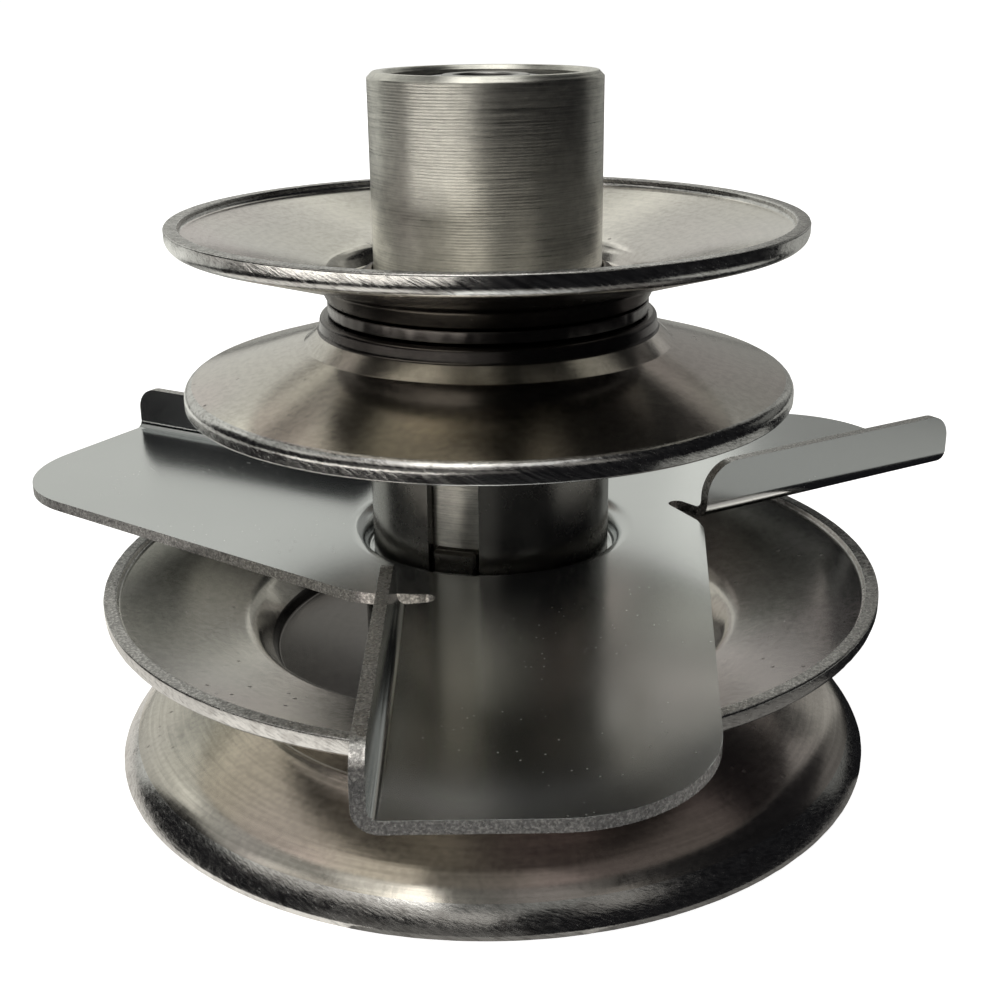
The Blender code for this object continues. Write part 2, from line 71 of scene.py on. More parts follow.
def rounded(corners):
    """Closed outline from corners (r, z, fillet radius); each corner becomes a smooth arc."""
    outline = []
    count = len(corners)
    for index, (r, z, radius) in enumerate(corners):
        corner = Vector((r, z))
        before = Vector(corners[index - 1][:2]) - corner
        after = Vector(corners[(index + 1) % count][:2]) - corner
        turn = math.pi - before.angle(after)
        if radius <= 0 or turn < 1e-3:
            outline.append((r, z))
            continue
        reach = radius * math.tan(turn / 2)
        reach = min(reach, 0.48 * before.length, 0.48 * after.length)
        radius = reach / math.tan(turn / 2)
        towards_centre = (before.normalized() + after.normalized()).normalized()
        centre = corner + towards_centre * radius / math.cos(turn / 2)
        start = corner + before.normalized() * reach - centre
        side = 1 if before.x * after.y - before.y * after.x < 0 else -1
        steps = max(2, int(math.degrees(turn) / 8))
        for step in range(steps + 1):
            angle = side * turn * step / steps
            point = centre + Matrix.Rotation(angle, 2) @ start
            outline.append((point.x, point.y))
    return outline


def arc(centre, radius, start, end, steps):
    """Points on an arc, angles in degrees, both ends included."""
    turn = [math.radians(start + (end - start) * step / steps) for step in range(steps + 1)]
    return [(centre[0] + radius * math.cos(angle), centre[1] + radius * math.sin(angle)) for angle in turn]


def pressed(face, thickness, edge=0.35 * MM):
    """Section of a pressed sheet: the given face, and its other side to the right of it."""
    back = []
    points = [Vector(corner[:2]) for corner in face]
    for index, point in enumerate(points):
        before = (point - points[index - 1]).normalized() if index else None
        after = (points[index + 1] - point).normalized() if index + 1 < len(points) else None
        before, after = before or after, after or before
        normals = [Vector((way.y, -way.x)) for way in (before, after)]
        middle = (normals[0] + normals[1]).normalized()
        moved = point + middle * thickness / middle.dot(normals[0])
        bends_right = before.x * after.y - before.y * after.x < 0
        radius = face[index][2] + (-thickness if bends_right else thickness)
        back.append((moved.x, moved.y, max(radius, 0.5 * MM)))
    face = list(face)
    for line in (face, back):
        for end in (0, -1):
            line[end] = (*line[end][:2], edge)
    return rounded(face + back[::-1])


def lathe(name, section, facets=ROUND, start=0.0, sweep=360.0):
    """Turns a closed outline (r, z) about Z; a part turn gets flat ends."""
    bm = bmesh.new()
    whole = sweep == 360.0
    steps = facets if whole else facets + 1
    rings = []
    for step in range(steps):
        angle = math.radians(start + sweep * step / facets)
        across, along = math.cos(angle), math.sin(angle)
        rings.append([bm.verts.new((r * across, r * along, z)) for r, z in section])
    for step in range(facets):
        ring, following = rings[step], rings[(step + 1) % steps]
        for index in range(len(section)):
            other = (index + 1) % len(section)
            bm.faces.new((ring[index], following[index], following[other], ring[other]))
    if not whole:
        bm.faces.new(rings[0])
        bm.faces.new(rings[-1][::-1])
    return finished(name, bm)


def finished(name, bm, sharp=40.0):
    """Turns the bmesh into a shaded object; edges sharper than the angle stay crisp."""
    bmesh.ops.recalc_face_normals(bm, faces=bm.faces)
    mesh = bpy.data.meshes.new(name)
    bm.to_mesh(mesh)
    bm.free()
    mesh.shade_smooth()
    mesh.set_sharp_from_angle(angle=math.radians(sharp))
    thing = bpy.data.objects.new(name, mesh)
    bpy.context.scene.collection.objects.link(thing)
    return thing


def apply_modifiers(thing):
    """Replaces the mesh with its modified form."""
    graph = bpy.context.evaluated_depsgraph_get()
    mesh = bpy.data.meshes.new_from_object(thing.evaluated_get(graph))
    thing.modifiers.clear()
    thing.data = mesh


def stand_for(thing, node, *materials):
    """The piece takes the given materials, rides with the node's body and is shown in place of the node."""
    for material in materials:
        thing.data.materials.append(material)
    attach(thing, BODY_OF[node])
    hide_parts(node)
    return thing


def extent(node):
    """Inner radius, outer radius, lowest and highest z of a round node, from its mesh."""
    low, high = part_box(node)
    radii = [vert.co.to_2d().length for vert in frame["nodes"][node].data.vertices]
    return min(radii), max(radii), low.z, high.z


def roughen_rim(thing, rim_radius, depth, seed, band=3.2 * MM):
    """Presses shallow dents into the outer band of a rim, always inwards."""
    for vert in thing.data.vertices:
        radius = vert.co.to_2d().length
        share = (radius - (rim_radius - band)) / band
        if share <= 0:
            continue
        around = Vector((vert.co.x, vert.co.y, 0)).normalized()
        wave = noise.noise(around * 22 + Vector((seed, 0, vert.co.z * 300)))
        fine = noise.noise(around * 95 + Vector((0, seed, vert.co.z * 900)))
        nick = max(0.0, noise.noise(around * 48 + Vector((0, 0, seed))) - 0.42) * 2.2
        press = depth * share * (0.5 + 0.5 * wave + 0.35 * abs(fine) + nick)
        vert.co -= around * max(press, 0.0)


# ---------------------------------------------------------------- material nodes

class Shader:
    """A Principled material, with short calls for the nodes that feed it."""

    def __init__(self, name, roughness, metallic=1.0):
        self.material = bpy.data.materials.new(name)
        self.material.use_nodes = True
        self.tree = self.material.node_tree
        self.bsdf = self.tree.nodes["Principled BSDF"]
        self.bsdf.inputs["Metallic"].default_value = metallic
        self.bsdf.inputs["Roughness"].default_value = roughness
        self.place = self.add("ShaderNodeTexCoord").outputs["Object"]

    def add(self, kind):
        return self.tree.nodes.new(kind)

    def join(self, source, target):
        if isinstance(source, (int, float)):
            target.default_value = source
        else:
            self.tree.links.new(source, target)

    def math(self, operation, first, second=0.0, third=0.0):
        node = self.add("ShaderNodeMath")
        node.operation = operation
        for value, socket in zip((first, second, third), node.inputs):
            self.join(value, socket)
        return node.outputs[0]

    def split(self, vector):
        node = self.add("ShaderNodeSeparateXYZ")
        self.join(vector, node.inputs[0])
        return node.outputs

    def vector(self, x, y, z):
        node = self.add("ShaderNodeCombineXYZ")
        for value, socket in zip((x, y, z), node.inputs):
            self.join(value, socket)
        return node.outputs[0]

    def scaled(self, vector, factors):
        node = self.add("ShaderNodeVectorMath")
        node.operation = "MULTIPLY"
        self.join(vector, node.inputs[0])
        node.inputs[1].default_value = factors
        return node.outputs[0]

    def noise(self, vector, scale, detail=3.0, rough=0.55):
        node = self.add("ShaderNodeTexNoise")
        self.join(vector, node.inputs["Vector"])
        node.inputs["Scale"].default_value = scale
        node.inputs["Detail"].default_value = detail
        node.inputs["Roughness"].default_value = rough
        return node.outputs["Fac"]

    def spots(self, vector, scale, size):
        """1 in small scattered dots, 0 elsewhere."""
        node = self.add("ShaderNodeTexVoronoi")
        self.join(vector, node.inputs["Vector"])
        node.inputs["Scale"].default_value = scale
        return self.ramp(node.outputs["Distance"], ((size * 0.5, 1.0), (size, 0.0)))

    def ramp(self, value, stops):
        """Maps a value through (position, grey or colour) stops."""
        node = self.add("ShaderNodeValToRGB")
        self.join(value, node.inputs[0])
        elements = node.color_ramp.elements
        while len(elements) < len(stops):
            elements.new(0.5)
        for element, (position, colour) in zip(elements, stops):
            element.position = position
            grey = isinstance(colour, (int, float))
            element.color = (colour, colour, colour, 1.0) if grey else (*colour, 1.0)
        return node.outputs[0]

    def mix(self, share, first, second, blend="MIX"):
        node = self.add("ShaderNodeMix")
        node.data_type = "RGBA"
        node.blend_type = blend
        self.join(share, node.inputs["Factor"])
        for value, socket in ((first, node.inputs["A"]), (second, node.inputs["B"])):
            if isinstance(value, tuple):
                socket.default_value = (*value, 1.0)
            else:
                self.join(value, socket)
        return node.outputs["Result"]

    def around(self):
        """Seamless coordinates: unit circle position, radius, height."""
        x, y, z = self.split(self.place)
        flat = self.math("SQRT", self.math("ADD", self.math("MULTIPLY", x, x), self.math("MULTIPLY", y, y)))
        safe = self.math("MAXIMUM", flat, 1e-4)
        return self.math("DIVIDE", x, safe), self.math("DIVIDE", y, safe), flat, z

    def colour(self, value):
        self.join(value, self.bsdf.inputs["Base Color"])

    def roughness(self, value):
        self.join(value, self.bsdf.inputs["Roughness"])

    def bump(self, height, distance, strength=1.0):
        """Adds a bump layer on top of the ones before it."""
        node = self.add("ShaderNodeBump")
        node.inputs["Distance"].default_value = distance
        node.inputs["Strength"].default_value = strength
        self.join(height, node.inputs["Height"])
        socket = self.bsdf.inputs["Normal"]
        if socket.is_linked:
            self.tree.links.new(socket.links[0].from_socket, node.inputs["Normal"])
        self.tree.links.new(node.outputs[0], socket)


def plated_sheet(name, low, high, roughness, grain=1.0, pits=1.0):
    """Zinc-plated pressed steel: mottled sheen, faint rings and radial drawing marks, pits."""
    shade = Shader(name, roughness)
    across, along, radius, height = shade.around()
    run = shade.math("ADD", radius, height)
    clouds = shade.noise(shade.place, 38, 4, 0.6)
    fine = shade.noise(shade.place, 900, 3, 0.6)
    climb = shade.math("MULTIPLY_ADD", height, 900, across)
    rings = shade.noise(shade.vector(climb, along, shade.math("MULTIPLY", radius, 900)), 1.6, 3, 0.6)
    side, front = shade.math("MULTIPLY", across, 60), shade.math("MULTIPLY", along, 60)
    drawn = shade.noise(shade.vector(side, front, shade.math("MULTIPLY", run, 30)), 1.0, 3, 0.5)
    pit_area = shade.ramp(clouds, ((0.55, 0.0), (0.66, 1.0)))
    pit = shade.math("MULTIPLY", shade.spots(shade.place, 330, 0.14), pit_area)
    tint = shade.ramp(
        shade.noise(shade.place, 16, 2, 0.5),
        ((0.36, (1.0, 0.975, 0.89)), (0.5, (1.0, 0.97, 0.94)), (0.62, (1.0, 0.90, 0.915))),
    )
    base = shade.mix(clouds, low, high)
    base = shade.mix(0.8, base, tint, "MULTIPLY")
    base = shade.mix(0.16 * grain, base, shade.ramp(rings, ((0.38, 0.45), (0.58, 1.0))), "MULTIPLY")
    base = shade.mix(0.18, base, shade.ramp(fine, ((0.40, 0.4), (0.56, 1.0))), "MULTIPLY")
    base = shade.mix(shade.math("MULTIPLY", pit, 0.7 * pits), base, (0.10, 0.095, 0.09))
    shade.colour(base)
    spread = shade.math("MULTIPLY", shade.math("SUBTRACT", clouds, 0.5), 0.16)
    spread = shade.math("ADD", spread, shade.math("MULTIPLY", shade.math("SUBTRACT", fine, 0.5), 0.10))
    spread = shade.math("ADD", roughness, spread)
    shade.roughness(shade.math("ADD", spread, shade.math("MULTIPLY", pit, 0.25)))
    shade.bump(clouds, 0.05 * MM, 0.5)
    shade.bump(drawn, 0.010 * MM * grain, 0.5)
    shade.bump(rings, 0.006 * MM * grain, 0.6)
    shade.bump(fine, 0.004 * MM, 0.7)
    shade.bump(shade.math("SUBTRACT", 1.0, pit), 0.02 * MM * pits)
    return shade.material


def rim_metal(name):
    """Polished rim with the orange peel of stretched metal, drawn out round the rim, and a few nicks."""
    shade = Shader(name, 0.16)
    across, along, radius, height = shade.around()
    climb = shade.math("MULTIPLY_ADD", height, 2600, shade.math("MULTIPLY", across, 70))
    streaks = shade.vector(climb, shade.math("MULTIPLY", along, 70), shade.math("MULTIPLY", radius, 2600))
    peel = shade.noise(streaks, 1.0, 3, 0.65)
    coarse = shade.noise(shade.place, 420, 3, 0.6)
    base = shade.ramp(coarse, ((0.34, (0.62, 0.61, 0.595)), (0.50, (0.78, 0.775, 0.76))))
    shade.colour(shade.mix(0.5, base, shade.ramp(peel, ((0.36, 0.4), (0.52, 1.0))), "MULTIPLY"))
    shade.roughness(shade.ramp(peel, ((0.35, 0.14), (0.7, 0.28))))
    shade.bump(coarse, 0.015 * MM, 0.7)
    shade.bump(peel, 0.030 * MM, 0.9)
    return shade.material


def cut_edge(name):
    """Sheared edge: bright, with fine torn grains."""
    shade = Shader(name, 0.30, 0.8)
    grains = shade.noise(shade.place, 2600, 3, 0.7)
    coarse = shade.noise(shade.place, 700, 2, 0.6)
    torn, plain, bright = (0.27, 0.265, 0.26), (0.44, 0.43, 0.42), (0.72, 0.71, 0.69)
    shade.colour(shade.ramp(grains, ((0.40, torn), (0.52, plain), (0.64, bright))))
    shade.roughness(shade.ramp(coarse, ((0.4, 0.22), (0.65, 0.42))))
    shade.bump(coarse, 0.02 * MM, 0.7)
    shade.bump(grains, 0.010 * MM, 0.8)
    return shade.material


def turned_steel(name):
    """Lathe-turned tube: fine feed lines, and mottled grain all over."""
    shade = Shader(name, 0.30)
    across, along, _, height = shade.around()
    wobble = shade.noise(shade.vector(across, along, shade.math("MULTIPLY", height, 40)), 1.5, 2, 0.5)
    phase = shade.math("MULTIPLY_ADD", height, 2 * math.pi / (0.46 * MM), shade.math("MULTIPLY", wobble, 5.0))
    feed = shade.math("MULTIPLY_ADD", shade.math("SINE", phase), 0.5, 0.5)
    lines = shade.noise(shade.vector(across, along, shade.math("MULTIPLY", height, 2600)), 1.4, 3, 0.7)
    grain = shade.noise(shade.scaled(shade.place, (1.0, 1.0, 1.6)), 520, 4, 0.7)
    clouds = shade.noise(shade.place, 45, 3, 0.5)
    tone = shade.mix(clouds, (0.86, 0.85, 0.785), (0.96, 0.95, 0.885))
    tone = shade.mix(0.8, tone, shade.ramp(lines, ((0.38, 0.72), (0.56, 1.0))), "MULTIPLY")
    tone = shade.mix(0.22, tone, shade.ramp(grain, ((0.40, 0.35), (0.6, 1.0))), "MULTIPLY")
    shade.colour(tone)
    shade.roughness(shade.ramp(lines, ((0.3, 0.27), (0.7, 0.42))))
    shade.bump(feed, 0.016 * MM, 0.8)
    shade.bump(lines, 0.010 * MM, 0.9)
    shade.bump(grain, 0.006 * MM, 0.6)
    shade.bsdf.inputs["Anisotropic"].default_value = 0.6
    shade.bsdf.inputs["Anisotropic Rotation"].default_value = 0.25
    tangent = shade.add("ShaderNodeTangent")
    tangent.direction_type = "RADIAL"
    tangent.axis = "Z"
    shade.join(tangent.outputs[0], shade.bsdf.inputs["Tangent"])
    return shade.material


def fan_sheet(name):
    """Smooth satin sheet steel with faint rolling lines, mild stains and a few specks of dust."""
    shade = Shader(name, 0.24)
    clouds = shade.noise(shade.place, 24, 4, 0.55)
    broad = shade.noise(shade.place, 9, 2, 0.5)
    fine = shade.noise(shade.place, 1100, 2, 0.6)
    rolled = shade.noise(shade.scaled(shade.place, (700, 30, 30)), 1.0, 3, 0.6)
    dust_area = shade.ramp(shade.noise(shade.place, 30, 2, 0.5), ((0.50, 0.0), (0.60, 1.0)))
    dust = shade.math("MULTIPLY", shade.spots(shade.place, 620, 0.10), dust_area)
    base = shade.mix(clouds, (0.64, 0.665, 0.67), (0.745, 0.765, 0.77))
    base = shade.mix(dust, base, (0.92, 0.92, 0.90))
    shade.colour(base)
    rough = shade.math("MULTIPLY_ADD", clouds, 0.12, 0.10)
    rough = shade.math("ADD", rough, shade.math("MULTIPLY", fine, 0.06))
    shade.roughness(shade.math("ADD", rough, shade.math("MULTIPLY", dust, 0.3)))
    shade.bump(broad, 0.5 * MM, 0.25)
    shade.bump(rolled, 0.003 * MM, 0.5)
    shade.bump(fine, 0.003 * MM, 0.6)
    return shade.material


def plain_steel(name, low, high, roughness, lines=0.01):
    """Machined steel with turned rings and a little grime."""
    shade = Shader(name, roughness)
    across, along, radius, height = shade.around()
    run = shade.math("ADD", radius, height)
    rings = shade.noise(shade.vector(across, along, shade.math("MULTIPLY", run, 1800)), 1.5, 3, 0.6)
    clouds = shade.noise(shade.place, 120, 4, 0.6)
    fine = shade.noise(shade.place, 1200, 2, 0.6)
    shade.colour(shade.mix(clouds, low, high))
    spread = shade.math("MULTIPLY_ADD", clouds, 0.2, roughness - 0.1)
    shade.roughness(shade.math("ADD", spread, shade.math("MULTIPLY", fine, 0.08)))
    shade.bump(rings, lines * MM, 0.8)
    shade.bump(fine, 0.004 * MM, 0.6)
    return shade.material


def weld_metal(name):
    """Rippled bead with heat tints and a dull skin."""
    shade = Shader(name, 0.42)
    clouds = shade.noise(shade.place, 200, 4, 0.6)
    tint = shade.ramp(
        shade.noise(shade.place, 90, 2, 0.5),
        ((0.35, (0.20, 0.19, 0.20)), (0.5, (0.34, 0.30, 0.25)), (0.65, (0.26, 0.27, 0.33))),
    )
    shade.colour(shade.mix(0.6, tint, shade.ramp(clouds, ((0.35, 0.3), (0.65, 1.0))), "MULTIPLY"))
    shade.roughness(shade.ramp(clouds, ((0.3, 0.32), (0.7, 0.6))))
    shade.bump(clouds, 0.08 * MM)
    return shade.material


def backdrop_paper(name):
    """Matte pale floor with a barely visible tooth."""
    shade = Shader(name, 0.9, 0.0)
    tooth = shade.noise(shade.place, 60, 3, 0.5)
    shade.colour(shade.ramp(tooth, ((0.3, 0.88), (0.7, 0.91))))
    shade.bsdf.inputs["Emission Color"].default_value = (1.0, 1.0, 1.0, 1.0)
    shade.bsdf.inputs["Emission Strength"].default_value = 0.93
    shade.bump(tooth, 0.1 * MM, 0.2)
    return shade.material


ZINC = plated_sheet("zinc_sheet", (0.66, 0.64, 0.61), (0.80, 0.785, 0.755), 0.17, 0.6)
ZINC_BASE = plated_sheet("zinc_base", (0.66, 0.64, 0.60), (0.80, 0.78, 0.745), 0.20, 1.8)
ZINC_DISH = plated_sheet("zinc_dish", (0.66, 0.645, 0.63), (0.80, 0.79, 0.775), 0.17, 0.7)
# painted shade: a dark copy of the zinc, laid on the sheave necks and on the disc between the webs
SHADED_ZINC = plated_sheet("shaded_zinc", (0.10, 0.095, 0.10), (0.20, 0.19, 0.19), 0.24, 0.8)
RIM = rim_metal("rim_metal")
EDGE = cut_edge("cut_edge")
TURNED = turned_steel("turned_steel")
FAN = fan_sheet("fan_sheet")
SLEEVE = plain_steel("sleeve_steel", (0.30, 0.29, 0.27), (0.44, 0.43, 0.41), 0.22, 0.006)
SPINDLE = plain_steel("spindle_steel", (0.36, 0.355, 0.35), (0.50, 0.49, 0.48), 0.28)
BEARING = plain_steel("bearing_steel", (0.58, 0.58, 0.59), (0.68, 0.68, 0.69), 0.14, 0.004)
SHIELD = plain_steel("shield_steel", (0.48, 0.48, 0.49), (0.62, 0.62, 0.63), 0.24, 0.006)
CAGE = plain_steel("cage_steel", (0.45, 0.40, 0.33), (0.58, 0.52, 0.44), 0.30)
SPRING = plain_steel("spring_steel", (0.05, 0.05, 0.055), (0.12, 0.12, 0.125), 0.34)
WELD = weld_metal("weld_metal")
PAPER = backdrop_paper("backdrop_paper")


# ---------------------------------------------------------------- sheaves

def rim_up(rim_radius, rim_z):
    """Last corners of a groove face whose rim turns up; the first one lies on the flank."""
    corner_z = rim_z - 0.3 * MM - RIM_BEND * (1 - math.sin(FLANK_ANGLE)) / math.cos(FLANK_ANGLE)
    return [(rim_radius, corner_z, RIM_BEND), (rim_radius, rim_z, 0.0)]


def rim_down(rim_radius, rim_z):
    """Last corners of a groove face whose rim turns down."""
    corner_z = rim_z + 0.3 * MM + RIM_BEND * (1 - math.sin(FLANK_ANGLE)) / math.cos(FLANK_ANGLE)
    return [(rim_radius, corner_z, RIM_BEND), (rim_radius, rim_z, 0.0)]


def rim_shoulder(rim_radius, rim_z):
    """Last corners of the bottom sheave's face: a broad round shoulder and a short upright lip."""
    shoulder, lip, steepest = 13.0 * MM, 0.9 * MM, 62.0
    end = math.radians(steepest)
    centre = (rim_radius - shoulder * math.sin(end), rim_z + lip - shoulder * math.cos(end))
    bend = arc(centre, shoulder, 90.0 - math.degrees(FLANK_ANGLE), 90.0 - steepest, 9)
    return [(*point, 0.0) for point in bend[:-1]] + [(*bend[-1], 0.8 * MM), (rim_radius, rim_z, 0.0)]


def on_flank(rim, radius, fillet):
    """Corner on the straight flank that runs into the rim."""
    rises = rim[1][1] > rim[0][1]
    fall = (rim[0][0] - radius) * FLANK_SLOPE
    return (radius, rim[0][1] - fall if rises else rim[0][1] + fall, fillet)


def sheave(node, face, upwards, seed, metal, shade_radius=0.0, facing=1):
    """Pressed sheave: orange-peel metal on the rim, sheared steel on its cut edge, and painted shade: dark
    zinc on the neck faces near the hub that face one chosen way.
    """
    ordered = face[::-1] if upwards else face
    thing = lathe("fine_" + node, pressed(ordered, SHEET))
    rim_radius = face[-1][0]
    rim_z = face[-1][1]
    for polygon in thing.data.polygons:
        middle = polygon.center
        radius = middle.to_2d().length
        level = abs(polygon.normal.z) > 0.8 and abs(middle.z - rim_z) < 0.15 * MM
        if level and radius > rim_radius - SHEET:
            polygon.material_index = 2
        elif radius > rim_radius - 2.6 * MM:
            polygon.material_index = 1
        # painted shade: faces inside the given radius that face the chosen way take the dark zinc, standing
        # in for the shade on the neck
        elif radius < shade_radius and polygon.normal.z * facing > -0.3:
            polygon.material_index = 3
    roughen_rim(thing, rim_radius, 0.10 * MM, seed)
    return stand_for(thing, node, metal, RIM, EDGE, SHADED_ZINC)


def build_sheaves():
    bore, rim_radius, web_z, rim_z = extent("top_sheave")
    rim = rim_up(rim_radius, rim_z)
    face = [(bore, web_z, 0.0), (27.0 * MM, web_z, 0.6 * MM), (28.5 * MM, web_z + 3.1 * MM, 2.0 * MM)]
    sheave("top_sheave", face + [on_flank(rim, 31.0 * MM, 5 * MM)] + rim, True, 3.1, ZINC_DISH, 30.4 * MM, -1)

    bore, rim_radius, rim_z, web_z = extent("middle_sheave")
    rim = rim_down(rim_radius, rim_z)
    face = [(bore, web_z, 0.0), (28.3 * MM, web_z, 0.8 * MM), (28.6 * MM, web_z - 2.3 * MM, 1.0 * MM)]
    sheave("middle_sheave", face + [on_flank(rim, 31.3 * MM, 0.6 * MM)] + rim, False, 7.7, ZINC, 30.0 * MM)

    bore, rim_radius, web_z, rim_z = extent("lower_sheave")
    rim = rim_up(rim_radius, rim_z)
    face = [(bore, web_z, 0.0), (40.2 * MM, web_z, 1.4 * MM), (41.5 * MM, web_z + 2.9 * MM, 1.2 * MM)]
    sheave("lower_sheave", face + [on_flank(rim, 44.4 * MM, 2.6 * MM)] + rim, True, 1.9, ZINC_DISH, 40.4 * MM)

    bore, rim_radius, rim_z, _ = extent("bottom_sheave")
    rim = rim_shoulder(rim_radius, rim_z)
    places = [vert.co for vert in frame["nodes"]["bottom_sheave"].data.vertices]
    web_z = max(place.z for place in places if place.to_2d().length < 30 * MM)
    inner = on_flank(rim, 44.4 * MM, 2.0 * MM)
    face = [(bore, web_z, 0.0), (42.2 * MM, web_z, 1.2 * MM), (inner[0], inner[1] - 0.9 * MM, inner[2])]
    sheave("bottom_sheave", face + [on_flank(rim, 46.0 * MM, 3.0 * MM)] + rim, False, 5.3, ZINC_BASE)

    bore, radius, low, high = extent("stop_disc")
    edge = 0.25 * MM
    corners = [(bore, low, 0), (radius, low, edge), (radius, high, edge), (bore, high, 0)]
    disc = lathe("fine_stop_disc", rounded(corners))
    roughen_rim(disc, radius, 0.16 * MM, 2.2, 0.6 * MM)
    # painted shade: the disc between the two webs takes the dark zinc, for the shade in the crease
    stand_for(disc, "stop_disc", SHADED_ZINC)


# ---------------------------------------------------------------- hub, sleeves and small rings

def ring_piece(node, material, edge=0.3 * MM, facets=SMALL_ROUND):
    """A plain ring or tube with softened edges, the size of its node."""
    bore, radius, low, high = extent(node)
    corners = [(bore, low, edge), (radius, low, edge), (radius, high, edge), (bore, high, edge)]
    return stand_for(lathe("fine_" + node, rounded(corners), facets), node, material)


def open_turn(node):
    """Start azimuth and sweep, in degrees, of a node that is a ring with one gap."""
    places = [vert.co for vert in frame["nodes"][node].data.vertices]
    azimuths = sorted({round(math.degrees(math.atan2(place.y, place.x)), 2) for place in places})
    following = azimuths[1:] + [azimuths[0] + 360.0]
    gap, start = max((after - azimuth, after) for azimuth, after in zip(azimuths, following))
    return start, 360.0 - gap


def split_ring(node, material, edge, facets):
    """A ring with one gap, such as a snap ring or the slotted sleeve."""
    bore, radius, low, high = extent(node)
    corners = [(bore, low, edge), (radius, low, edge), (radius, high, edge), (bore, high, edge)]
    start, sweep = open_turn(node)
    return stand_for(lathe("fine_" + node, rounded(corners), facets, start, sweep), node, material)


def build_hub():
    """Turned tube with chamfered mouths, bearing seats, snap ring grooves and the key's seat."""
    inner, radius, low, high = extent("hub_tube")
    seat = extent("upper_outer_race")[1] + GAP
    groove = extent("upper_snap_ring")[1] + GAP
    shoulders = (extent("lower_outer_race")[3] + GAP, extent("upper_outer_race")[2] - GAP)
    outer_edge, inner_edge = 0.9 * MM, 0.7 * MM
    corners = [(radius - outer_edge, low, 0.2 * MM), (radius, low + outer_edge, 0.3 * MM)]
    corners += [(radius, high - outer_edge, 0.3 * MM), (radius - outer_edge, high, 0.2 * MM)]
    corners += [(seat + inner_edge, high, 0.2 * MM), (seat, high - inner_edge, 0.2 * MM)]
    upper = extent("upper_snap_ring")
    corners += [(seat, upper[3] + GAP, 0), (groove, upper[3] + GAP, 0)]
    corners += [(groove, upper[2] - GAP, 0), (seat, upper[2] - GAP, 0)]
    corners += [(seat, shoulders[1], 0), (inner, shoulders[1], 0.3 * MM)]
    corners += [(inner, shoulders[0], 0.3 * MM), (seat, shoulders[0], 0)]
    lower = extent("lower_snap_ring")
    corners += [(seat, lower[3] + GAP, 0), (groove, lower[3] + GAP, 0)]
    corners += [(groove, lower[2] - GAP, 0), (seat, lower[2] - GAP, 0)]
    corners += [(seat, low + inner_edge, 0.2 * MM), (seat + inner_edge, low, 0.2 * MM)]
    hub = lathe("fine_hub_tube", rounded(corners))

    key_low, key_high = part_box("drive_key")
    middle = (key_low + key_high) / 2
    width, depth = 8.2 * MM, 6.0 * MM
    floor_radius = min(v.co.to_2d().length for v in frame["nodes"]["drive_key"].data.vertices) - 2 * GAP
    turn = Matrix.Rotation(math.atan2(middle.y, middle.x), 4, "Z")
    place = Matrix.Translation((floor_radius + depth / 2, 0, middle.z))
    size = Matrix.Diagonal((depth, width, key_high.z - key_low.z + 2 * GAP, 1.0))
    bm = bmesh.new()
    bmesh.ops.create_cube(bm, size=1.0, matrix=turn @ place @ size)
    cutter = finished("key_seat_cutter", bm)
    boolean = hub.modifiers.new("key_seat", "BOOLEAN")
    boolean.operation = "DIFFERENCE"
    boolean.solver = "EXACT"
    boolean.object = cutter
    apply_modifiers(hub)
    bpy.data.objects.remove(cutter)
    hub.data.shade_smooth()
    hub.data.set_sharp_from_angle(angle=math.radians(30.0))
    stand_for(hub, "hub_tube", TURNED)
    frame["nodes"]["drive_key"].data.materials.clear()
    frame["nodes"]["drive_key"].data.materials.append(SLEEVE)


def build_weld(node, seed):
    """Weld bead: a quarter-round fillet with ripples round the tube."""
    bore, radius, low, high = extent(node)
    leg = radius - bore
    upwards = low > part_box("top_sheave")[0].z
    root, tip = (low, high) if upwards else (high, low)
    bulge = root + (tip - root) * 0.62
    corners = [(bore, root, 0), (radius, root, 0.3 * MM)]
    corners += [(bore + 0.70 * leg, bulge, 1.6 * MM), (bore, tip, 0.3 * MM)]
    bead = lathe("fine_" + node, rounded(corners))
    for vert in bead.data.vertices:
        flat = vert.co.to_2d().length
        around = math.atan2(vert.co.y, vert.co.x)
        across, along = math.cos(around), math.sin(around)
        share = min(1.0, (flat - bore) / leg * 2.0)
        wander = noise.noise(Vector((across, along, seed)) * 4)
        ripple = 0.5 + 0.5 * math.sin(around * 64 + 2.2 * wander)
        swell = 0.5 + 0.5 * noise.noise(Vector((across * 5, along * 5, seed)))
        shrink = share * (0.16 * ripple + 0.20 * swell) * MM
        vert.co.x -= shrink * across
        vert.co.y -= shrink * along
        vert.co.z += (root - vert.co.z) * 0.12 * ripple * share
    stand_for(bead, node, WELD)


def track(centre, radius, edge_radius, inwards):
    """Corners of the ball track in a race's face, from its lower to its upper edge."""
    reach = math.acos(abs(edge_radius - centre[0]) / radius)
    steps = 12
    points = []
    for step in range(steps + 1):
        angle = -reach + 2 * reach * step / steps
        side = -1 if inwards else 1
        reached = side * radius * math.cos(angle)
        points.append((centre[0] + reached, centre[1] + radius * math.sin(angle), 0.0))
    return points


